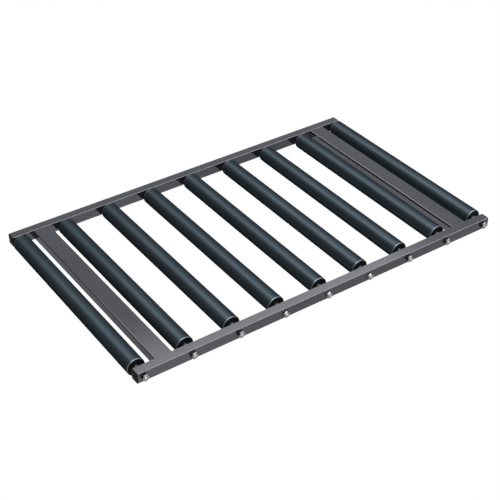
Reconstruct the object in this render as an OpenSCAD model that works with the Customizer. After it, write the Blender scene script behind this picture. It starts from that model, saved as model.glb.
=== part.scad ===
// Gravity roller track: nine free-turning steel rollers on fixed axles,
// nutted between two closed box rails that two box tubes tie together.
// X runs along the rails, Y along the rollers, Z up.
// The origin is under the middle of the track, level with the rollers' lowest line.

/* [Rollers] */
// Outside diameter of a roller tube
roller_d = 50; // [48:0.5:60]
// Length of a roller tube
roller_len = 626.8; // [300:0.2:900]
// Distance between neighbouring roller axes
pitch = 138; // [112:1:200]
// Wall thickness of a roller tube
tube_wall = 1.5; // [1:0.1:2]
// Axial length of the rolled-in edge at each tube end
edge_len = 2.2; // [1:0.1:2.4]

/* [Rails] */
// Width of a box rail
rail_w = 26.2; // [20:0.2:40]
// Height of a box rail
rail_h = 29.8; // [24:0.1:44]
// Wall thickness of a box rail
rail_wall = 2; // [1.5:0.1:3]
// Outside corner radius of a box rail
rail_r = 1.2; // [0.8:0.1:1.4]
// Height of the rail's middle above the roller axes
rail_lift = 0.65; // [-3:0.05:4]
// Length of rail past the first and last roller axis
rail_over = 17.7; // [14:0.1:60]
// Gap between a roller's end and the rail beside it
side_gap = 13.1; // [4:0.1:30]

/* [End caps] */
// Thickness of a rail end cap outside the rail
cap_t = 3.3; // [2:0.1:6]
// Depth of the cap's plug inside the rail
cap_plug = 9; // [5:0.5:9]

/* [Cross members] */
// Width of a cross member's box tube
member_w = 48.8; // [30:0.1:52]
// Wall thickness of the box tube
member_t = 2.5; // [2:0.1:4]
// Outside corner radius of the box tube
member_r = 3; // [1.5:0.1:4]
// Height by which the rails stand above the cross members' tops
member_drop = 1.5; // [0:0.1:4]

/* [Axles and nuts] */
// Diameter of an axle
axle_d = 15; // [14:0.5:16]
// Outside diameter of the thread at an axle's end
stud_d = 10; // [8:0.5:10]
// Length of thread that stands out of a nut
stud_out = 1.4; // [0.5:0.1:4]
// Width across the flats of a nut
nut_af = 17; // [15:0.5:18]
// Height of a nut
nut_h = 8.4; // [6:0.1:10]

/* [Bearings] */
// Outside diameter of a bearing
brg_od = 35; // [34:0.5:36]
// Width of a bearing
brg_w = 11; // [10:0.5:12]
// Diameter of a bearing ball
ball_d = 6; // [5.5:0.05:6]
// Running clearance between the inner ring and the balls
run_gap = 0.06; // [0.02:0.01:0.1]

/* [Hidden] */
COUNT = 9;                                  // rollers in the track
BALLS = 12;                                 // balls in one full-complement bearing
axis_z = roller_d/2;
tube_ri = roller_d/2 - tube_wall;
half_roller = roller_len/2;
rail_in = half_roller + side_gap;           // Y of a rail's inner face
rail_out = rail_in + rail_w;                // Y of a rail's outer face
rail_mid = rail_in + rail_w/2;
rail_cz = axis_z + rail_lift;
rail_x = (COUNT - 1)/2*pitch + rail_over;   // X of the rail's cut end
rail_bottom = rail_cz - rail_h/2;
member_h = rail_h - member_drop;
member_mid = (COUNT - 2)/2*pitch;           // X of the outer roller gaps' middles
seal_d = 0.7;                               // seal face, below the tube end
seal_t = 2;                                 // seal thickness
brg_d0 = 3;                                 // bearing's outer side, below the tube end
brg_mid = brg_d0 + brg_w/2;
brg_r = axle_d/2 + 4.9;                     // radius of the ball circle
clip_t = 1;                                 // axle circlip thickness
clip_depth = 0.5;                           // axle groove depth
round_fn = 96;
eps = 0.01;

function roller_x(i) = (i - (COUNT + 1)/2)*pitch;

// ---- shared shapes ----

// Rectangle centred on the origin with true round corners
module round_rect(w, h, r) {
  square([w - 2*r, h], center = true);
  square([w, h - 2*r], center = true);
  for (sx = [-1, 1], sy = [-1, 1])
    translate([sx*(w/2 - r), sy*(h/2 - r)]) circle(r = r, $fn = 32);
}

// Puts a shape turned about Z onto the axis of roller i, its Z along the roller
module on_axis(i) {
  translate([roller_x(i), 0, axis_z]) rotate([-90, 0, 0]) children();
}

// Both ends of a roller; the child is drawn for the +Y end
module both_ends() {
  for (s = [0, 1]) mirror([0, 0, s]) children();
}

// Ring of rectangular section: inner and outer radius, start and end along the axis
module ring(r0, r1, z0, z1) {
  rotate_extrude($fn = round_fn) translate([r0, z0]) square([r1 - r0, z1 - z0]);
}

// Extrudes an outline drawn in Y (its x) and Z (its y) along +X
module along_x(len) {
  rotate([90, 0, 90]) linear_extrude(len) children();
}

// ---- rails ----

// Closed box rail, drilled across for the axles' threaded ends
module box_rail(side) {
  difference() {
    translate([-rail_x, side*rail_mid, rail_cz])
      along_x(2*rail_x)
        difference() {
          round_rect(rail_w, rail_h, rail_r);
          round_rect(rail_w - 2*rail_wall, rail_h - 2*rail_wall, 0.6);
        }
    for (i = [1:COUNT])
      translate([roller_x(i), side*rail_mid, axis_z]) rotate([90, 0, 0])
        cylinder(r = stud_d/2 + 0.25, h = rail_w + 2, center = true, $fn = 48);
  }
}

module rail_front() { color("dimgray") box_rail(-1); }
module rail_rear() { color("dimgray") box_rail(1); }

// ---- rail end caps ----

// Plastic cap: a soft-edged plate outside the rail and a hollow plug inside it.
// Drawn with the rail's cut end at x = 0 and the rail on the -X side.
module end_cap() {
  er = 1.6;
  // plate, rounded on its outer edges by three crossing outlines
  intersection() {
    translate([0, 0, 0]) along_x(cap_t) round_rect(rail_w, rail_h, rail_r);
    rotate([90, 0, 0]) linear_extrude(rail_w + 2, center = true) cap_outline(rail_h, er);
    linear_extrude(rail_h + 2, center = true) cap_outline(rail_w, er);
  }
  // plug
  difference() {
    translate([-cap_plug, 0, 0]) along_x(cap_plug + eps)
      round_rect(rail_w - 2*rail_wall - 0.1, rail_h - 2*rail_wall - 0.1, 0.6);
    translate([-cap_plug - 1, 0, 0]) along_x(cap_plug + 1)
      round_rect(rail_w - 2*rail_wall - 4, rail_h - 2*rail_wall - 4, 0.6);
  }
}

// Side outline of the cap's plate: square at x = 0, round corners at x = cap_t
module cap_outline(h, er) {
  translate([0, -h/2]) square([cap_t - er, h]);
  translate([0, -h/2 + er]) square([cap_t, h - 2*er]);
  for (s = [-1, 1]) translate([cap_t - er, s*(h/2 - er)]) circle(r = er, $fn = 32);
}

module place_cap(end, side) {
  translate([end*rail_x, side*rail_mid, rail_cz]) mirror([end < 0 ? 1 : 0, 0, 0]) end_cap();
}

module end_cap_front_left() { color([0.1, 0.1, 0.11]) place_cap(-1, -1); }
module end_cap_front_right() { color([0.1, 0.1, 0.11]) place_cap(1, -1); }
module end_cap_rear_left() { color([0.1, 0.1, 0.11]) place_cap(-1, 1); }
module end_cap_rear_right() { color([0.1, 0.1, 0.11]) place_cap(1, 1); }

// ---- cross members ----

// Closed box tube with round corners, butted between the rails midway between two rollers
module cross_tube(xc) {
  translate([xc, rail_in, rail_bottom + member_h/2])
    rotate([90, 0, 0]) linear_extrude(2*rail_in)
      difference() {
        round_rect(member_w, member_h, member_r);
        round_rect(member_w - 2*member_t, member_h - 2*member_t, 0.6);
      }
}

module cross_member_left() { color("dimgray") cross_tube(-member_mid); }
module cross_member_right() { color("dimgray") cross_tube(member_mid); }

// ---- axle nuts ----

// Hex nut along Z, its bearing face at z = 0, corners turned off at both faces
module hex_nut() {
  rf = nut_af/2;
  difference() {
    intersection() {
      cylinder(r = rf/cos(30), h = nut_h, $fn = 6);
      union() {
        translate([0, 0, 1]) cylinder(r = rf + 2, h = nut_h - 2, $fn = 64);
        cylinder(r1 = rf - 0.4, r2 = rf + 1.4, h = 1 + eps, $fn = 64);
        translate([0, 0, nut_h - 1 - eps]) cylinder(r1 = rf + 1.4, r2 = rf - 0.4, h = 1 + eps, $fn = 64);
      }
    }
    translate([0, 0, -1]) cylinder(r = stud_d/2 + 0.05, h = nut_h + 2, $fn = 48);
    translate([0, 0, -eps]) cylinder(r1 = stud_d/2 + 0.5, r2 = stud_d/2, h = 0.5, $fn = 48);
    translate([0, 0, nut_h - 0.5 + eps]) cylinder(r1 = stud_d/2, r2 = stud_d/2 + 0.5, h = 0.5, $fn = 48);
  }
}

// How far each nut is turned when tight, in degrees
TURN = [4, 8, 2, 24, 20, 27, 6, 3, 9];

module nut_row(side) {
  for (i = [1:COUNT])
    translate([roller_x(i), side*rail_out, axis_z])
      rotate([side > 0 ? -90 : 90, 0, 0]) rotate(TURN[i - 1]) hex_nut();
}

module axle_nuts_front() { color("silver") nut_row(-1); }
module axle_nuts_rear() { color("silver") nut_row(1); }

// ---- axles ----

// Half outline of an axle from its middle to its +Z end: circlip groove, shoulder
// against the rail, threaded end through the rail and the nut
module axle_half() {
  r = axle_d/2;
  h = rail_in;
  clip_z = half_roller - brg_d0 - brg_w;
  tip = rail_out + nut_h + stud_out;
  rs = stud_d/2;
  polygon([
    [0, 0], [r, 0],
    [r, clip_z - clip_t - 0.1], [r - clip_depth, clip_z - clip_t - 0.1],
    [r - clip_depth, clip_z], [r, clip_z],
    [r, h - 0.6], [r - 0.6, h],
    [rs, h], [rs, tip - 1], [rs - 1, tip], [0, tip]]);
}

module axles() {
  color([0.72, 0.72, 0.72])
    for (i = [1:COUNT])
      on_axis(i) rotate_extrude($fn = round_fn) {
        axle_half();
        mirror([0, 1]) axle_half();
      }
}

// Open ring that stops a bearing from sliding inwards along its axle
module axle_circlips() {
  r0 = axle_d/2 - clip_depth;
  clip_z = half_roller - brg_d0 - brg_w - clip_t;
  color([0.25, 0.25, 0.26])
    for (i = [1:COUNT])
      on_axis(i) both_ends()
        difference() {
          ring(r0, axle_d/2 + 2.2, clip_z, clip_z + clip_t);
          translate([0, -20, clip_z + clip_t/2]) cube([4, 40, clip_t + 1], center = true);
        }
}

// ---- bearings ----

// Section of one bearing at the +Z end, on the axle's radius scale
module inner_ring_section() {
  difference() {
    translate([axle_d/2, half_roller - brg_d0 - brg_w]) square([2.9, brg_w]);
    translate([brg_r, half_roller - brg_mid]) circle(r = ball_d/2 + run_gap, $fn = 64);
  }
}

module outer_ring_section() {
  difference() {
    translate([brg_od/2 - 3, half_roller - brg_d0 - brg_w]) square([3, brg_w]);
    translate([brg_r, half_roller - brg_mid]) circle(r = ball_d/2 + 0.01, $fn = 64);
  }
}

module bearing_inner_rings() {
  color([0.6, 0.61, 0.62])
    for (i = [1:COUNT]) on_axis(i) both_ends() rotate_extrude($fn = round_fn) inner_ring_section();
}

module outer_rings(i) {
  color([0.6, 0.61, 0.62]) on_axis(i) both_ends() rotate_extrude($fn = round_fn) outer_ring_section();
}

module balls(i) {
  color([0.8, 0.8, 0.82])
    on_axis(i) both_ends()
      for (k = [0:BALLS - 1])
        rotate(k*360/BALLS) translate([brg_r, 0, half_roller - brg_mid]) sphere(r = ball_d/2, $fn = 48);
}

// Moulded housing that seats a bearing in the tube end
module housings(i) {
  h = half_roller;
  ro = tube_ri;
  rb = brg_od/2;
  color([0.06, 0.06, 0.07])
    on_axis(i) both_ends() rotate_extrude($fn = round_fn)
      polygon([
        [rb, h - 0.6], [rb + 0.4, h - 0.2],
        [ro - 0.5, h - 0.2], [ro, h - 0.7],
        [ro, h - 20], [ro - 1, h - 21],
        [rb + 2, h - 21], [rb, h - brg_d0 - brg_w - 4],
        [rb - 3.6, h - brg_d0 - brg_w - 4], [rb - 3.6, h - brg_d0 - brg_w],
        [rb, h - brg_d0 - brg_w]]);
}

// Dust seal in front of a bearing, its lip running on the axle
module seals(i) {
  h = half_roller;
  rb = brg_od/2;
  lip = axle_d/2 + 0.05;
  color([0.09, 0.09, 0.1])
    on_axis(i) both_ends() rotate_extrude($fn = round_fn)
      polygon([
        [lip, h - 0.3], [lip + 2.4, h - 0.3], [lip + 3, h - seal_d - 0.4],
        [rb - 1.2, h - seal_d - 0.4], [rb - 0.8, h - seal_d],
        [rb, h - seal_d], [rb, h - seal_d - seal_t],
        [lip + 3.6, h - seal_d - seal_t], [lip + 3, h - seal_d - 1.6], [lip, h - seal_d - 1.6]]);
}

// ---- roller tubes ----

module tube(i) {
  er = 2.6;
  color([0.22, 0.27, 0.29])
    on_axis(i) rotate_extrude($fn = round_fn)
      intersection() {
        translate([tube_ri, -half_roller]) square([tube_wall, roller_len]);
        union() {
          translate([0, -half_roller + edge_len]) square([roller_d/2, roller_len - 2*edge_len]);
          for (s = [-1, 1])
            translate([roller_d/2 - er, s*(half_roller - edge_len)]) circle(r = er, $fn = 64);
        }
      }
}

// ---- the nodes ----

rail_front();
rail_rear();
end_cap_front_left();
end_cap_front_right();
end_cap_rear_left();
end_cap_rear_right();
cross_member_left();
cross_member_right();
axle_nuts_front();
axle_nuts_rear();
axles();
axle_circlips();
bearing_inner_rings();
tube(1);  // roller_tube_1
tube(2);  // roller_tube_2
tube(3);  // roller_tube_3
tube(4);  // roller_tube_4
tube(5);  // roller_tube_5
tube(6);  // roller_tube_6
tube(7);  // roller_tube_7
tube(8);  // roller_tube_8
tube(9);  // roller_tube_9
housings(1);  // bearing_housings_1
housings(2);  // bearing_housings_2
housings(3);  // bearing_housings_3
housings(4);  // bearing_housings_4
housings(5);  // bearing_housings_5
housings(6);  // bearing_housings_6
housings(7);  // bearing_housings_7
housings(8);  // bearing_housings_8
housings(9);  // bearing_housings_9
outer_rings(1);  // bearing_outer_rings_1
outer_rings(2);  // bearing_outer_rings_2
outer_rings(3);  // bearing_outer_rings_3
outer_rings(4);  // bearing_outer_rings_4
outer_rings(5);  // bearing_outer_rings_5
outer_rings(6);  // bearing_outer_rings_6
outer_rings(7);  // bearing_outer_rings_7
outer_rings(8);  // bearing_outer_rings_8
outer_rings(9);  // bearing_outer_rings_9
balls(1);  // bearing_balls_1
balls(2);  // bearing_balls_2
balls(3);  // bearing_balls_3
balls(4);  // bearing_balls_4
balls(5);  // bearing_balls_5
balls(6);  // bearing_balls_6
balls(7);  // bearing_balls_7
balls(8);  // bearing_balls_8
balls(9);  // bearing_balls_9
seals(1);  // dust_seals_1
seals(2);  // dust_seals_2
seals(3);  // dust_seals_3
seals(4);  // dust_seals_4
seals(5);  // dust_seals_5
seals(6);  // dust_seals_6
seals(7);  // dust_seals_7
seals(8);  // dust_seals_8
seals(9);  // dust_seals_9
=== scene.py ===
import math
import bpy, bmesh
from mathutils import Vector, Matrix


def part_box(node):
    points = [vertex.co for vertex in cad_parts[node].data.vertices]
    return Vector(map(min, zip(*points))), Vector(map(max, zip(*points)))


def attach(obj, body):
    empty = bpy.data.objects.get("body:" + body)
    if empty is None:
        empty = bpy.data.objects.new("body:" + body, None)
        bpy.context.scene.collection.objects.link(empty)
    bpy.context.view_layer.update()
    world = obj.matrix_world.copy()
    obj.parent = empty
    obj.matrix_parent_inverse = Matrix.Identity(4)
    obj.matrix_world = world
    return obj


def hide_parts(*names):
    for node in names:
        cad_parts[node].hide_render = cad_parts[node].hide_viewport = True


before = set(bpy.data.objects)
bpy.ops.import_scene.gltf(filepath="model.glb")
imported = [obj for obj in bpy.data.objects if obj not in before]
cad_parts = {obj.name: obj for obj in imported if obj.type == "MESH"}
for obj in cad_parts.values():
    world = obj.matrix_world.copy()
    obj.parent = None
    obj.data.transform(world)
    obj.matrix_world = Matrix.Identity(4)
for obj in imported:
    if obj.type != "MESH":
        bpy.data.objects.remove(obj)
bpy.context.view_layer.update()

scene = bpy.context.scene
MM = 0.001


# ================================================================== camera
def make_camera():
    cam = bpy.data.objects.new("camera", bpy.data.cameras.new("camera"))
    scene.collection.objects.link(cam)
    cam.data.sensor_width = 36.0
    cam.data.sensor_fit = "HORIZONTAL"
    cam.data.lens = 81.73
    cam.data.clip_start, cam.data.clip_end = 0.05, 80
    fwd = Vector((0.46101, 0.66557, -0.58704)).normalized()
    right = fwd.cross(Vector((0, 0, 1))).normalized()
    up = right.cross(fwd)
    roll = math.radians(-0.16)
    r2 = right * math.cos(roll) + up * math.sin(roll)
    u2 = up * math.cos(roll) - right * math.sin(roll)
    m = Matrix((r2, u2, -fwd)).transposed().to_4x4()
    m.translation = Vector((-1.4870, -2.1436, 1.8481))
    cam.matrix_world = m
    scene.camera = cam


make_camera()
scene.view_settings.view_transform = "Standard"


# ================================================================== node helpers
class Tree:
    """Small builder for a node tree. Sockets are passed around; numbers and tuples set a default."""

    def __init__(self, tree):
        self.t = tree
        self.t.nodes.clear()

    def node(self, kind, **props):
        n = self.t.nodes.new(kind)
        for k, v in props.items():
            setattr(n, k, v)
        return n

    def put(self, sock, v):
        if isinstance(v, bpy.types.NodeSocket):
            self.t.links.new(v, sock)
        elif isinstance(v, (tuple, list)) and len(v) == 3 and sock.type == "RGBA":
            sock.default_value = (*v, 1)
        else:
            sock.default_value = v

    def math(self, op, a, b=0.0, c=None, clamp=False):
        n = self.node("ShaderNodeMath", operation=op, use_clamp=clamp)
        self.put(n.inputs[0], a)
        self.put(n.inputs[1], b)
        if c is not None:
            self.put(n.inputs[2], c)
        return n.outputs[0]

    def remap(self, v, a, b, c=0.0, d=1.0, smooth=False):
        n = self.node("ShaderNodeMapRange", interpolation_type="SMOOTHSTEP" if smooth else "LINEAR")
        for i, x in enumerate((v, a, b, c, d)):
            self.put(n.inputs[i], x)
        return n.outputs[0]

    def mix(self, f, a, b, mode="MIX"):
        n = self.node("ShaderNodeMix", data_type="RGBA", blend_type=mode)
        self.put(n.inputs[0], f)
        self.put(n.inputs[6], a)
        self.put(n.inputs[7], b)
        return n.outputs[2]

    def xyz(self, v):
        n = self.node("ShaderNodeSeparateXYZ")
        self.put(n.inputs[0], v)
        return n.outputs

    def scaled(self, v, s, loc=(0, 0, 0)):
        n = self.node("ShaderNodeMapping")
        self.put(n.inputs[0], v)
        n.inputs["Location"].default_value = loc
        n.inputs["Scale"].default_value = s
        return n.outputs[0]

    def noise(self, v, scale, detail=2.0, rough=0.5, dist=0.0):
        n = self.node("ShaderNodeTexNoise")
        self.put(n.inputs["Vector"], v)
        n.inputs["Scale"].default_value = scale
        n.inputs["Detail"].default_value = detail
        n.inputs["Roughness"].default_value = rough
        n.inputs["Distortion"].default_value = dist
        return n.outputs[0]

    def cells(self, v, scale, feature="F1", rand=1.0):
        n = self.node("ShaderNodeTexVoronoi", feature=feature)
        self.put(n.inputs["Vector"], v)
        n.inputs["Scale"].default_value = scale
        n.inputs["Randomness"].default_value = rand
        return n.outputs["Distance"]

    def bump(self, h, strength, dist, normal=None):
        n = self.node("ShaderNodeBump")
        n.inputs["Strength"].default_value = strength
        n.inputs["Distance"].default_value = dist
        self.put(n.inputs["Height"], h)
        if normal is not None:
            self.put(n.inputs["Normal"], normal)
        return n.outputs[0]


class Mat(Tree):
    def __init__(self, name, **fixed):
        self.m = bpy.data.materials.new(name)
        self.m.use_nodes = True
        super().__init__(self.m.node_tree)
        out = self.node("ShaderNodeOutputMaterial")
        self.b = self.node("ShaderNodeBsdfPrincipled")
        self.t.links.new(self.b.outputs[0], out.inputs[0])
        for k, v in fixed.items():
            self.set(k.replace("_", " "), v)
        self.co = self.node("ShaderNodeTexCoord").outputs["Object"]

    def set(self, key, v):
        self.put(self.b.inputs[key], v)


# ================================================================== the frame's measures
TRACK = [f"roller_{i}" for i in range(1, 10)]
rail_lo = {s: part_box("rail_" + s)[0] for s in ("front", "rear")}
rail_hi = {s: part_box("rail_" + s)[1] for s in ("front", "rear")}
tube_lo = [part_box(f"roller_tube_{i}")[0] for i in range(1, 10)]
tube_hi = [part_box(f"roller_tube_{i}")[1] for i in range(1, 10)]
RX = [(a.x + b.x) / 2 for a, b in zip(tube_lo, tube_hi)]
AZ = (tube_lo[0].z + tube_hi[0].z) / 2
R = 0.025
HALF = tube_hi[0].y
RAIL_IN = rail_lo["rear"].y
RAIL_OUT = rail_hi["rear"].y
RAIL_W = RAIL_OUT - RAIL_IN
RAIL_X = rail_hi["rear"].x
RAIL_Z0, RAIL_Z1 = rail_lo["rear"].z, rail_hi["rear"].z
RAIL_CZ = (RAIL_Z0 + RAIL_Z1) / 2
RAIL_H = RAIL_Z1 - RAIL_Z0


# ================================================================== materials
def box_edges(k, lo, hi, axis_pair, width):
    """1 along the long outside corners of a box section, 0 away from them. axis_pair names the section's axes."""
    s = k.xyz(k.co)
    near = []
    for a in axis_pair:
        c = (lo[a] + hi[a]) / 2
        h = (hi[a] - lo[a]) / 2
        d = k.math("ABSOLUTE", k.math("SUBTRACT", s[a], c))
        near.append(k.remap(d, h - width, h - width * 0.15, 0.0, 1.0, True))
    return k.math("MULTIPLY", near[0], near[1])


def paint(name, lo, hi, axis_pair, edge_highlight_gain=0.42):
    """Glossy dark grey stoved paint on steel tube: slight cloudiness, orange peel, and a painted highlight that makes
    the upper long corners lighter.
    """
    k = Mat(name, IOR=1.5)
    big = k.noise(k.co, 6.0, 3, 0.55)
    mid = k.noise(k.co, 70.0, 3, 0.6, 0.4)
    dust = k.noise(k.co, 900.0, 2, 0.6)
    col = k.mix(k.remap(big, 0.35, 0.65), PAINT_A, PAINT_B)
    col = k.mix(k.remap(dust, 0.66, 0.78, 0.0, 0.35), col, (0.045, 0.045, 0.048))
    # painted highlight: a lighter grey (0.125) along the upper long corners stands in for light caught on the rounded
    # edges
    edge = box_edges(k, lo, hi, axis_pair, 0.0015)
    upper = k.remap(k.xyz(k.co)[2], (lo.z + hi.z) / 2, hi.z - 0.003, 0.0, 1.0)
    edge = k.math("MULTIPLY", edge, upper)
    painted_edge_highlight = k.math("MULTIPLY", edge, k.remap(mid, 0.35, 0.65, 0.62, 1.0))
    col = k.mix(k.math("MULTIPLY", painted_edge_highlight, edge_highlight_gain), col, (0.125, 0.125, 0.135))
    k.set("Base Color", col)
    ro = k.remap(mid, 0.3, 0.7, PAINT_ROUGH * 0.86, PAINT_ROUGH * 1.14)
    ro = k.math("ADD", ro, k.math("MULTIPLY", painted_edge_highlight, 0.10))
    scuff = k.noise(k.scaled(k.co, (260, 26, 26) if 0 in axis_pair else (26, 260, 260)), 1.0, 2, 0.7, 1.2)
    ro = k.math("ADD", ro, k.remap(scuff, 0.62, 0.80, 0.0, 0.09))
    k.set("Roughness", ro)
    peel = k.noise(k.co, 420.0, 2, 0.45)
    fine = k.noise(k.co, 1700.0, 1, 0.5)
    k.set("Normal", k.bump(k.math("ADD", peel, k.math("MULTIPLY", fine, 0.25)), 0.06, 0.0004))
    return k.m


PAINT_A = (0.0066, 0.0064, 0.0078)
PAINT_B = (0.0092, 0.0090, 0.0106)
PAINT_ROUGH = 0.09


def cap_plastic():
    k = Mat("cap_plastic_black", IOR=1.46, Specular_IOR_Level=0.03)
    big = k.noise(k.co, 90.0, 2, 0.5)
    grain = k.cells(k.co, 2600.0)
    col = k.mix(k.remap(big, 0.3, 0.7), (0.0026, 0.0026, 0.0030), (0.0046, 0.0046, 0.0052))
    g = k.node("ShaderNodeNewGeometry")
    tip = k.remap(g.outputs["Pointiness"], 0.52, 0.62, 0.0, 0.5)
    col = k.mix(tip, col, (0.012, 0.012, 0.013))
    k.set("Base Color", col)
    k.set("Roughness", k.remap(k.noise(k.co, 300.0, 3), 0.3, 0.7, 0.42, 0.56))
    k.set("Normal", k.bump(grain, 0.22, 0.00012))
    return k.m


def zinc():
    k = Mat("nut_bright_zinc", Metallic=1.0)
    cloud = k.noise(k.co, 240.0, 3, 0.6, 0.5)
    spots = k.noise(k.co, 1300.0, 2, 0.6)
    col = k.mix(k.remap(cloud, 0.3, 0.7), (0.160, 0.152, 0.140), (0.212, 0.200, 0.182))
    col = k.mix(k.remap(spots, 0.62, 0.75, 0.0, 0.5), col, (0.110, 0.106, 0.100))
    k.set("Base Color", col)
    k.set("Roughness", k.remap(cloud, 0.3, 0.7, 0.11, 0.20))
    lay = k.noise(k.scaled(k.co, (900, 120, 900)), 1.0, 2, 0.6)
    k.set("Normal", k.bump(k.math("ADD", lay, k.math("MULTIPLY", spots, 0.4)), 0.12, 0.00015))
    return k.m


def turned_steel(name, tint, r0, r1, lines=5200.0, strength=0.1, dull_beyond=None):
    """Turned or drawn round steel: fine rings around Y, cloudy grey, a few darker specks."""
    k = Mat(name, Metallic=1.0)
    s = k.scaled(k.co, (60, lines, 60))
    ring = k.noise(s, 1.0, 2, 0.6)
    cloud = k.noise(k.co, 130.0, 3, 0.55)
    speck = k.noise(k.co, 2100.0, 1, 0.5)
    dark = tuple(c * 0.72 for c in tint)
    col = k.mix(k.remap(cloud, 0.3, 0.7), dark, tint)
    col = k.mix(k.remap(ring, 0.35, 0.65, 0.0, 0.25), col, tuple(min(1, c * 1.15) for c in tint))
    col = k.mix(k.remap(speck, 0.68, 0.78, 0.0, 0.6), col, tuple(c * 0.4 for c in tint))
    if dull_beyond is not None:
        out = k.math("ABSOLUTE", k.xyz(k.co)[1])
        col = k.mix(k.remap(out, dull_beyond, dull_beyond + 0.0005, 0.0, 1.0), col, k.mix(1.0, col, (0.80, 0.77, 0.72), "MULTIPLY"))
    k.set("Base Color", col)
    k.set("Roughness", k.remap(ring, 0.3, 0.7, r0, r1))
    k.set("Normal", k.bump(ring, strength, 0.00008))
    return k.m


def roller_coat():
    """Dark teal-grey coating on the tube; the rolled-in edge at each end is bare and bright."""
    k = Mat("roller_coat_teal", Metallic=ROLLER_METAL, Specular_Tint=ROLLER_TINT, Specular_IOR_Level=0.0)
    s = k.xyz(k.co)
    along = k.math("ABSOLUTE", s[1])
    # a long cloudy tone and fine rings from finishing
    big = k.noise(k.scaled(k.co, (14, 5, 14)), 1.0, 3, 0.5)
    ring = k.noise(k.scaled(k.co, (22, 2600, 22)), 1.0, 3, 0.6)
    fleck = k.noise(k.co, 1500.0, 2, 0.6)
    col = k.mix(k.remap(big, 0.3, 0.7), ROLLER_A, ROLLER_B)
    col = k.mix(k.remap(ring, 0.4, 0.7, 0.0, 0.22), col, ROLLER_C)
    col = k.mix(k.remap(fleck, 0.66, 0.78, 0.0, 0.4), col, tuple(c * 1.8 for c in ROLLER_B))
    # faint rub lines where loads run along the track
    rub = k.noise(k.scaled(k.co, (9, 90, 9)), 1.0, 4, 0.65, 0.6)
    ro = k.remap(ring, 0.3, 0.7, ROLLER_ROUGH * 0.92, ROLLER_ROUGH * 1.08)
    ro = k.math("ADD", ro, k.remap(rub, 0.55, 0.75, 0.0, 0.05))
    # bare rolled edge
    wob = k.remap(k.noise(k.co, 60.0, 2), 0.2, 0.8, -0.00025, 0.00025)
    edge = k.remap(k.math("ADD", along, wob), HALF - 0.0031, HALF - 0.0027, 0.0, 1.0, True)
    bare = k.mix(k.remap(fleck, 0.35, 0.65), EDGE_A, EDGE_B)
    k.set("Base Color", k.mix(edge, col, bare))
    k.set("Roughness", k.math("ADD", k.math("MULTIPLY", ro, k.math("SUBTRACT", 1.0, edge)), k.math("MULTIPLY", edge, 0.30)))
    h = k.math("ADD", ring, k.math("MULTIPLY", fleck, 0.5))
    k.set("Normal", k.bump(h, 0.05, 0.0001))
    return k.m


ROLLER_METAL = 0.7
ROLLER_TINT = (0.0, 0.0, 0.0)
ROLLER_A = (0.0190, 0.0249, 0.0280)
ROLLER_B = (0.0222, 0.0292, 0.0328)
ROLLER_C = (0.0274, 0.0359, 0.0403)
ROLLER_ROUGH = 0.30
EDGE_A = (0.070, 0.073, 0.076)
EDGE_B = (0.090, 0.094, 0.097)


def moulded(name, a, b, ro, grain_scale=1900.0):
    k = Mat(name, IOR=1.47, Specular_IOR_Level=0.06)
    big = k.noise(k.co, 140.0, 3, 0.5)
    col = k.mix(k.remap(big, 0.3, 0.7), a, b)
    s = k.xyz(k.co)
    k.set("Base Color", col)
    k.set("Roughness", k.remap(k.noise(k.co, 500.0, 2), 0.3, 0.7, ro - 0.06, ro + 0.08))
    k.set("Normal", k.bump(k.cells(k.co, grain_scale), 0.18, 0.0001))
    return k.m


MATS = {}
for s_ in ("front", "rear"):
    MATS["rail_" + s_] = paint("rail_paint_" + s_, rail_lo[s_], rail_hi[s_], (1, 2), 0.8)
for s_ in ("left", "right"):
    lo_, hi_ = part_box("cross_member_" + s_)
    MATS["cross_member_" + s_] = paint("member_paint_" + s_, lo_, hi_, (0, 2), 0.25)
MATS["cap"] = cap_plastic()
MATS["nut"] = zinc()
MATS["axle"] = turned_steel("axle_drawn_steel", (0.50, 0.495, 0.49), 0.26, 0.40, dull_beyond=RAIL_OUT + 0.004)
MATS["clip"] = turned_steel("clip_phosphated", (0.10, 0.10, 0.105), 0.42, 0.58)
MATS["ring"] = turned_steel("bearing_ring_ground", (0.56, 0.57, 0.59), 0.12, 0.22, 9000.0, 0.05)
MATS["ball"] = turned_steel("bearing_ball_polished", (0.68, 0.69, 0.71), 0.05, 0.10, 700.0, 0.01)
MATS["roller"] = roller_coat()
MATS["housing"] = moulded("housing_black_nylon", (0.0012, 0.0012, 0.0014), (0.0026, 0.0026, 0.0029), 0.55)
MATS["seal"] = moulded("seal_black", (0.0016, 0.0016, 0.0018), (0.0032, 0.0032, 0.0036), 0.60, 2600.0)


# ================================================================== mesh helpers
def piece(name, verts, faces, mat, body, nodes, sharp=32.0):
    me = bpy.data.meshes.new(name)
    me.from_pydata([tuple(v) for v in verts], [], faces)
    me.validate()
    bm = bmesh.new()
    bm.from_mesh(me)
    bmesh.ops.remove_doubles(bm, verts=bm.verts, dist=1e-7)
    bmesh.ops.recalc_face_normals(bm, faces=bm.faces)
    bm.to_mesh(me)
    bm.free()
    me.polygons.foreach_set("use_smooth", [True] * len(me.polygons))
    me.set_sharp_from_angle(angle=math.radians(sharp))
    me.materials.append(mat)
    o = bpy.data.objects.new(name, me)
    scene.collection.objects.link(o)
    wn = o.modifiers.new("even_shading", "WEIGHTED_NORMAL")
    wn.keep_sharp = True
    wn.weight = 50
    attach(o, body)
    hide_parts(*nodes)
    return o


def rounded(w, h, r, n):
    """Points of a rounded rectangle, counter-clockwise from the +a side; 4 corners of n + 1 points each."""
    pts = []
    for c, (sa, sb) in enumerate(((1, 1), (-1, 1), (-1, -1), (1, -1))):
        for j in range(n + 1):
            t = math.radians(90 * c + 90 * j / n)
            pts.append((sa * (w / 2 - r) + r * math.cos(t), sb * (h / 2 - r) + r * math.sin(t)))
    return pts


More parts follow.
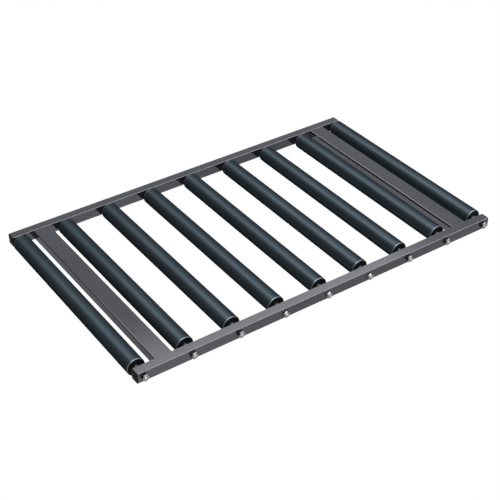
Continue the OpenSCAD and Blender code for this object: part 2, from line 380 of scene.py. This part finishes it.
def loft(rings, closed=False, cap0=False, cap1=False):
    """Quads between rings of equal length. Returns vertices and faces."""
    n = len(rings[0])
    verts = [p for ring in rings for p in ring]
    faces = []
    last = len(rings) if closed else len(rings) - 1
    for i in range(last):
        a, b = i * n, ((i + 1) % len(rings)) * n
        for j in range(n):
            k = (j + 1) % n
            faces.append((a + j, a + k, b + k, b + j))
    if cap0:
        faces.append(tuple(range(n - 1, -1, -1)))
    if cap1:
        a = (len(rings) - 1) * n
        faces.append(tuple(range(a, a + n)))
    return verts, faces


def lathe(profile, x, segs, closed=True):
    """Revolves (y, r) points about the roller axis at x."""
    rings = []
    for y, r in profile:
        rings.append([(x + r * math.cos(2 * math.pi * j / segs), y, AZ + r * math.sin(2 * math.pi * j / segs))
                      for j in range(segs)])
    return loft(rings, closed=closed)


def join(parts):
    verts, faces = [], []
    for v, f in parts:
        n = len(verts)
        verts += v
        faces += [tuple(i + n for i in q) for q in f]
    return verts, faces


def arc(cy, cr, r, a0, a1, n):
    """Points (y, radius) on an arc; angles in degrees from +y towards +radius."""
    return [(cy + r * math.cos(math.radians(a0 + (a1 - a0) * i / n)),
             cr + r * math.sin(math.radians(a0 + (a1 - a0) * i / n))) for i in range(n + 1)]


# ================================================================== rails
def box_tube_with_holes(yc, x_half, w, h, r, wall, holes, hole_r, hz):
    """Closed box section along X, walls on +-Y drilled at each x in holes. Section is centred on (yc, RAIL_CZ)."""
    n = 6
    ease = 0.0003
    outer = rounded(w, h, r, n)
    inner = rounded(w - 2 * wall, h - 2 * wall, 0.0008, n)
    m = len(outer)
    half_cell = hole_r + 0.004
    xs = [-x_half]
    for hx in holes:
        xs += [hx - half_cell, hx + half_cell]
    xs += [x_half]
    verts, faces = [], []

    def ring(pts, x):
        base = len(verts)
        verts.extend((x, yc + a, RAIL_CZ + b) for a, b in pts)
        return base

    # flat sides that get holes: edge from point (corner c, last) to (corner c + 1, first)
    plus_y = (3 * (n + 1) + n, 0)              # corner 3 end -> corner 0 start: the +a side
    minus_y = (1 * (n + 1) + n, 2 * (n + 1))   # corner 1 end -> corner 2 start: the -a side
    circles = {}
    for tag, pts, half in (("o", outer, w / 2), ("i", inner, w / 2 - wall)):
        xs_use = list(xs)
        rings = []
        if tag == "o":
            small = rounded(w - 2 * ease, h - 2 * ease, max(r - ease, 0.0004), n)
            r_start = ring(small, -x_half)
            rings.append(ring(pts, -x_half + ease))
            for x in xs[1:-1]:
                rings.append(ring(pts, x))
            rings.append(ring(pts, x_half - ease))
            r_end = ring(small, x_half)
            allr = [r_start] + rings + [r_end]
            off = 1
        else:
            for x in xs:
                rings.append(ring(pts, x))
            allr = rings
            off = 0
        ends = (allr[0], allr[-1]) if tag == "i" else (r_start, r_end)
        circles[tag + "_ends"] = ends
        for i in range(len(allr) - 1):
            cell = i - off
            is_hole = 1 <= cell < len(xs) - 1 and cell % 2 == 1
            a, b = allr[i], allr[i + 1]
            for j in range(m):
                k = (j + 1) % m
                side = None
                if (j, k) == plus_y:
                    side = 1
                elif (j, k) == minus_y:
                    side = -1
                if is_hole and side:
                    hx = holes[(cell - 1) // 2]
                    y = yc + side * half
                    q = 8
                    cbase = len(verts)
                    for t in range(4 * q):
                        ang = 2 * math.pi * t / (4 * q) + math.pi / 4
                        verts.append((hx + hole_r * math.cos(ang), y, hz + hole_r * math.sin(ang)))
                    circles[(tag, side, hx)] = cbase
                    # corners: (+x,+z), (-x,+z), (-x,-z), (+x,-z), in the circle's order
                    lo_j, hi_j = (j, k) if verts[a + j][2] < verts[a + k][2] else (k, j)
                    corner = [b + hi_j, a + hi_j, a + lo_j, b + lo_j]
                    for c in range(4):
                        arcpts = [cbase + (c * q + t) % (4 * q) for t in range(q + 1)]
                        faces.append(tuple([corner[c]] + arcpts + [corner[(c + 1) % 4]]))
                else:
                    faces.append((a + j, a + k, b + k, b + j))
    for end in (0, 1):
        a, b = circles["o_ends"][end], circles["i_ends"][end]
        for j in range(m):
            k = (j + 1) % m
            faces.append((a + j, a + k, b + k, b + j))
    for hx in holes:
        for side in (1, -1):
            a, b = circles[("o", side, hx)], circles[("i", side, hx)]
            for t in range(32):
                k = (t + 1) % 32
                faces.append((a + t, a + k, b + k, b + t))
    return verts, faces


for s_, sg in (("front", -1), ("rear", 1)):
    yc = sg * (RAIL_IN + RAIL_OUT) / 2
    v, f = box_tube_with_holes(yc, RAIL_X, RAIL_W, RAIL_H, 0.0012, 0.002, RX, 0.00525, AZ)
    piece("rail_" + s_ + "_tube", v, f, MATS["rail_" + s_], "frame", ["rail_" + s_], 40)


# ================================================================== cross members
def cross_tube(lo, hi, r, wall):
    xc, zc = (lo.x + hi.x) / 2, (lo.z + hi.z) / 2
    w, h = hi.x - lo.x, hi.z - lo.z
    outer = rounded(w, h, r, 8)
    inner = rounded(w - 2 * wall, h - 2 * wall, 0.0009, 8)
    ys = [lo.y + (hi.y - lo.y) * i / 12 for i in range(13)]
    rings = [[(xc + a, y, zc + b) for a, b in outer] for y in ys]
    rings += [[(xc + a, y, zc + b) for a, b in inner] for y in (ys[-1], ys[0])]
    return loft(rings, closed=True)


for s_ in ("left", "right"):
    lo_, hi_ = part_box("cross_member_" + s_)
    v, f = cross_tube(lo_, hi_, 0.003, 0.0025)
    piece("cross_member_" + s_ + "_tube", v, f, MATS["cross_member_" + s_], "frame",
          ["cross_member_" + s_], 40)


# ================================================================== end caps
def end_cap(end, side):
    lo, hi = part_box(f"end_cap_{'front' if side < 0 else 'rear'}_{'left' if end < 0 else 'right'}")
    yc, zc = (lo.y + hi.y) / 2, (lo.z + hi.z) / 2
    w, h = hi.y - lo.y, hi.z - lo.z
    tip = max(abs(lo.x), abs(hi.x)) - RAIL_X          # plate thickness
    plug = RAIL_X - min(abs(lo.x), abs(hi.x))
    n = 6

    def ring(x, inset, r):
        return [(end * (RAIL_X + x), yc + a, zc + b) for a, b in rounded(w - 2 * inset, h - 2 * inset, r, n)]

    pw = 0.00205
    rings = [ring(0.0, pw + 0.002, 0.0006), ring(-plug, pw + 0.002, 0.0006), ring(-plug, pw + 0.0005, 0.0006),
             ring(-plug + 0.0006, pw, 0.0008), ring(0.0, pw, 0.0008),
             ring(0.0, 0.0002, 0.0014), ring(0.0002, 0.0, 0.0016)]
    er = 0.0013
    top = tip - 0.00035
    for j in range(9):
        t = math.radians(90 * j / 8)
        rings.append(ring(top - er + er * math.sin(t), er - er * math.cos(t), 0.0016 + 0.0004 * j / 8))
    for inset, dome in ((0.0022, 0.10), (0.0034, 0.45), (0.0052, 0.78), (0.0078, 0.96), (0.0105, 1.0)):
        rings.append(ring(top + 0.00035 * dome, inset, 0.002))
    return loft(rings, cap0=True, cap1=True)


for end in (-1, 1):
    for side in (-1, 1):
        nm = f"end_cap_{'front' if side < 0 else 'rear'}_{'left' if end < 0 else 'right'}"
        v, f = end_cap(end, side)
        piece(nm + "_moulded", v, f, MATS["cap"], "frame", [nm], 50)


# ================================================================== nuts and axles
TURN = [4, 8, 2, 24, 20, 27, 6, 3, 9]
NUT_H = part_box("axle_nuts_rear")[1].y - RAIL_OUT
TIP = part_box("axles")[1].y


def hex_nut(x, side, turn):
    """Hex nut: softened corners, a 30 degree cone taken off both faces, countersunk bore."""
    af, rc = 0.017, 0.0004
    pts = []
    for c in range(6):
        ca, cb = math.radians(60 * c), math.radians(60 * c + 60)
        cr = (af / 2 - rc) / math.cos(math.radians(30))
        for j in range(5):
            t = math.radians(60 * c - 30 + 60 * j / 4)
            pts.append((cr * math.cos(ca) + rc * math.cos(t), cr * math.sin(ca) + rc * math.sin(t)))
        ax, ay = pts[-1]
        t = math.radians(60 * c + 30)
        bx, by = cr * math.cos(cb) + rc * math.cos(t), cr * math.sin(cb) + rc * math.sin(t)
        for j in range(1, 10):
            u = j / 10
            pts.append((ax + (bx - ax) * u, ay + (by - ay) * u))
    ct, st = math.cos(math.radians(turn)), math.sin(math.radians(turn))

    def put(a, b, z):
        a, b = a * ct - b * st, a * st + b * ct
        return (x + a, side * (RAIL_OUT + z), AZ - side * b)

    def circ(r, z):
        return [put(r * p[0] / math.hypot(*p), r * p[1] / math.hypot(*p), z) for p in pts]

    def hexa(q, z):
        return [put(p[0] * q, p[1] * q, z(math.hypot(*p))) for p in pts]

    r0 = af / 2 - 0.0003
    cone = lambda r: max(0.0, r - r0) / 1.8
    top = NUT_H
    rings = [circ(r0 - 0.0001, 0.0), circ(r0, 0.00002),
             hexa(0.992, lambda r: cone(r * 0.992)), hexa(1.0, lambda r: cone(r) + 0.00012),
             hexa(1.0, lambda r: top - cone(r) - 0.00012), hexa(0.992, lambda r: top - cone(r * 0.992)),
             circ(r0, top - 0.00002), circ(r0 - 0.0001, top),
             circ(0.0057, top), circ(0.00555, top - 0.00003), circ(0.00507, top - 0.0005), circ(0.00505, top - 0.0006),
             circ(0.00505, 0.0006), circ(0.00507, 0.0005), circ(0.00555, 0.00003), circ(0.0057, 0.0)]
    return loft(rings, closed=True)


for s_, sg in (("front", -1), ("rear", 1)):
    v, f = join([hex_nut(x, sg, t) for x, t in zip(RX, TURN)])
    piece(f"axle_nuts_{s_}_hex", v, f, MATS["nut"], "frame", [f"axle_nuts_{s_}"], 24)


def axle_profile():
    """Half an axle from its middle to its end: circlip groove, shoulder, turned relief, thread with a domed tip."""
    r, clip = 0.0075, HALF - 0.014
    pts = [(0.0, r), (clip - 0.0011, r), (clip - 0.0011, r - 0.0005), (clip, r - 0.0005), (clip, r),
           (RAIL_IN - 0.0006, r), (RAIL_IN - 0.0004, r - 0.0001), (RAIL_IN - 0.0001, r - 0.0004), (RAIL_IN, r - 0.0006),
           (RAIL_IN, 0.005)]
    y = RAIL_IN + 0.0015
    pts += [(y - 0.0001, 0.005), (y, 0.0044), (y + 0.0012, 0.0044)]
    y += 0.0014
    pitch, root = 0.0015, 0.00435
    while y + pitch < TIP - 0.0011:
        pts += [(y, root), (y + pitch * 0.42, 0.00496), (y + pitch * 0.58, 0.00496)]
        y += pitch
    pts += [(y, root), (TIP - 0.00165, 0.0048)]
    pts += [(TIP - 0.0014 * (1 - math.cos(math.radians(a))), 0.0047 * math.sin(math.radians(a))) for a in (78, 66, 54, 43, 33, 24, 16)]
    return pts


def axle(x):
    half = axle_profile()
    prof = [(-y, r) for y, r in reversed(half[1:])] + half
    segs = 48
    rings = []
    for y, r in [(-TIP, 0.0005)] + prof + [(TIP, 0.0005)]:
        rings.append([(x + r * math.cos(2 * math.pi * j / segs), y, AZ + r * math.sin(2 * math.pi * j / segs))
                      for j in range(segs)])
    return loft(rings, cap0=True, cap1=True)


v, f = join([axle(x) for x in RX])
piece("axles_turned", v, f, MATS["axle"], "frame", ["axles"], 30)


# ================================================================== rollers
def tube_profile():
    half, er, el = HALF, 0.0026, 0.0022
    ri = R - 0.0015
    cy, cr = half - el, R - er
    # outer surface, round edge at +Y (from the crown of the arc to the end face)
    pts = []
    for i in range(45):
        pts.append((-cy + 2 * cy * i / 44, R))
    end = [(y, r) for y, r in arc(cy, cr, er, 90, 32, 8) if r > ri + 0.0002]
    end = [(min(y, half), r) for y, r in end][1:]
    pts += end
    pts.append((end[-1][0] - 0.0001, ri))
    left = [(-y, r) for y, r in reversed([*end, (end[-1][0] - 0.0001, ri)])]
    return pts + left


def housing_profile():
    h, ro, rb = HALF, R - 0.0015, 0.0175
    bw, b0 = 0.011, 0.003
    g = 0.00035
    return [
        (h - 0.0006, rb), (h - 0.00045, rb + 0.0001), (h - 0.0002, rb + 0.0004),
        (h - 0.0002, rb + 0.0014), (h - 0.0002 - g, rb + 0.0017), (h - 0.0002 - g, rb + 0.0026), (h - 0.0002, rb + 0.0029),
        (h - 0.0002, ro - 0.0006), (h - 0.0003, ro - 0.00025), (h - 0.0007, ro - 0.00002),
        (h - 0.020, ro - 0.00002), (h - 0.021, ro - 0.001),
        (h - 0.021, rb + 0.002), (h - b0 - bw - 0.004, rb), (h - b0 - bw - 0.004, rb - 0.0036),
        (h - b0 - bw, rb - 0.0036), (h - b0 - bw, rb)]


def seal_profile():
    h, rb, lip = HALF, 0.0175, 0.0075 + 0.00005
    d, t = 0.0007, 0.002
    return [
        (h - 0.0004, lip), (h - 0.0003, lip + 0.0001), (h - 0.0003, lip + 0.0022), (h - 0.00045, lip + 0.0025),
        (h - d - 0.0004, lip + 0.003),
        (h - d - 0.0004, lip + 0.0048), (h - d - 0.0002, lip + 0.0051), (h - d - 0.0002, lip + 0.0060),
        (h - d - 0.0004, lip + 0.0063), (h - d - 0.0004, rb - 0.0012), (h - d, rb - 0.0008),
        (h - d, rb - 0.0001), (h - d - 0.0001, rb), (h - d - t, rb), (h - d - t, lip + 0.0036),
        (h - d - 0.0016, lip + 0.003), (h - d - 0.0016, lip)]


def both_ends(profile, x, segs):
    return join([lathe(profile, x, segs), lathe([(-y, r) for y, r in profile], x, segs)])


for i, x in enumerate(RX, 1):
    body = f"roller_{i}"
    v, f = lathe(tube_profile(), x, 96)
    piece(f"roller_{i}_tube", v, f, MATS["roller"], body, [f"roller_tube_{i}"], 40)
    v, f = both_ends(housing_profile(), x, 72)
    piece(f"roller_{i}_housings", v, f, MATS["housing"], body, [f"bearing_housings_{i}"], 30)
    v, f = both_ends(seal_profile(), x, 72)
    piece(f"roller_{i}_seals", v, f, MATS["seal"], body, [f"dust_seals_{i}"], 30)


# ================================================================== carried-over CAD nodes
for n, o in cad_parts.items():
    key = None
    if n == "axle_circlips":
        key = "clip"
    elif n.startswith("bearing_inner") or n.startswith("bearing_outer"):
        key = "ring"
    elif n.startswith("bearing_balls"):
        key = "ball"
    if key:
        o.data.materials.clear()
        o.data.materials.append(MATS[key])


# ================================================================== floor and light
def stage_object(name, verts, faces, see_through_back):
    me = bpy.data.meshes.new(name)
    me.from_pydata(verts, [], faces)
    o = bpy.data.objects.new(name, me)
    scene.collection.objects.link(o)
    m = bpy.data.materials.new(name)
    m.use_nodes = True
    t = Tree(m.node_tree)
    out = t.node("ShaderNodeOutputMaterial")
    em = t.node("ShaderNodeEmission")
    em.inputs[0].default_value = (1, 1, 1, 1)
    em.inputs[1].default_value = 1.0
    if see_through_back:
        tr = t.node("ShaderNodeBsdfTransparent")
        mx = t.node("ShaderNodeMixShader")
        g = t.node("ShaderNodeNewGeometry")
        t.put(mx.inputs[0], g.outputs["Backfacing"])
        t.put(mx.inputs[1], em.outputs[0])
        t.put(mx.inputs[2], tr.outputs[0])
        t.put(out.inputs[0], mx.outputs[0])
    else:
        t.put(out.inputs[0], em.outputs[0])
    me.materials.append(m)
    for flag in ("visible_diffuse", "visible_glossy", "visible_transmission", "visible_volume_scatter", "visible_shadow"):
        setattr(o, flag, False)
    return o


S = 30.0
stage_object("floor", [(-S, -S, -0.0005), (S, -S, -0.0005), (S, S, -0.0005), (-S, S, -0.0005)], [(0, 1, 2, 3)], True)
bm = bmesh.new()
bmesh.ops.create_icosphere(bm, subdivisions=3, radius=35.0)
bv = [tuple(v.co) for v in bm.verts]
bf = [tuple(v.index for v in reversed(f.verts)) for f in bm.faces]
bm.free()
stage_object("backdrop", bv, bf, False)


def studio_world():
    """Soft studio: a pale room, a large softbox overhead and behind the track, soft light and shade patches around it."""
    w = bpy.data.worlds.new("studio")
    scene.world = w
    w.use_nodes = True
    t = Tree(w.node_tree)
    out = t.node("ShaderNodeOutputWorld")
    bg = t.node("ShaderNodeBackground")
    d = t.node("ShaderNodeTexCoord").outputs["Generated"]
    x, y, z = t.xyz(d)
    lvl = t.remap(z, -1.0, 1.0, ROOM[0], ROOM[1])
    for direction, a0, a1, value in PATCHES:
        n = Vector(direction).normalized()
        dot = t.node("ShaderNodeVectorMath", operation="DOT_PRODUCT")
        t.put(dot.inputs[0], d)
        dot.inputs[1].default_value = n
        m = t.remap(dot.outputs["Value"], math.cos(math.radians(a1)), math.cos(math.radians(a0)), 0.0, 1.0, True)
        lvl = t.math("ADD", t.math("MULTIPLY", lvl, t.math("SUBTRACT", 1.0, m)), t.math("MULTIPLY", m, value))
    zz = t.math("MAXIMUM", z, 0.02)
    a = t.math("DIVIDE", x, zz)
    b = t.math("DIVIDE", y, zz)
    m = t.remap(b, BOX["b"][0], BOX["b"][1], 1.0, 0.0, True)
    m = t.math("MULTIPLY", m, t.remap(b, BOX["b"][2], BOX["b"][3], 0.0, 1.0, True))
    m = t.math("MULTIPLY", m, t.remap(a, BOX["a"][0], BOX["a"][1], 1.0, 0.0, True))
    m = t.math("MULTIPLY", m, t.remap(a, BOX["a"][2], BOX["a"][3], 0.0, 1.0, True))
    glow = t.remap(a, -0.1, 0.35, BOX["bright"], BOX["level"], True)
    up = t.remap(b, 0.65, 0.25, 0.0, 1.0, True)
    glow = t.math("ADD", t.math("MULTIPLY", glow, t.math("SUBTRACT", 1.0, up)), t.math("MULTIPLY", up, BOX["over"]))
    lvl = t.math("ADD", t.math("MULTIPLY", lvl, t.math("SUBTRACT", 1.0, m)), t.math("MULTIPLY", m, glow))
    col = t.mix(1.0, (0.90, 0.93, 1.0), lvl, "MULTIPLY")
    t.put(bg.inputs[0], col)
    bg.inputs[1].default_value = 1.0
    t.put(out.inputs[0], bg.outputs[0])


ROOM = (0.9, 0.88)
PATCHES = [
    ((0.33, 0.70, 0.62), 8, 30, 1.0),
    ((0.34, -0.66, -0.66), 10, 30, 1.85),
    ((0.66, -0.55, -0.52), 5, 22, 1.1),
    ((-0.58, 0.58, -0.58), 7, 15, 1.7),
    ((0.42, -0.88, 0.16), 12, 26, 1.7),
    ((-0.10, -0.666, 0.737), 8, 18, 6.0),
    ((0.17, -0.41, -0.90), 10, 22, 0.3),
    ((-0.574, -0.666, -0.478), 8, 17, 5.0),
    ((-0.36, 0.66, -0.66), 8, 16, 0.5),
    ((-0.73, 0.67, 0.12), 14, 24, 0.02),
]
BOX = {"b": (1.00, 1.07, -0.75, -0.45), "a": (0.93, 1.03, -0.75, -0.35), "level": 4.0, "bright": 8.0, "over": 9.0}
studio_world()
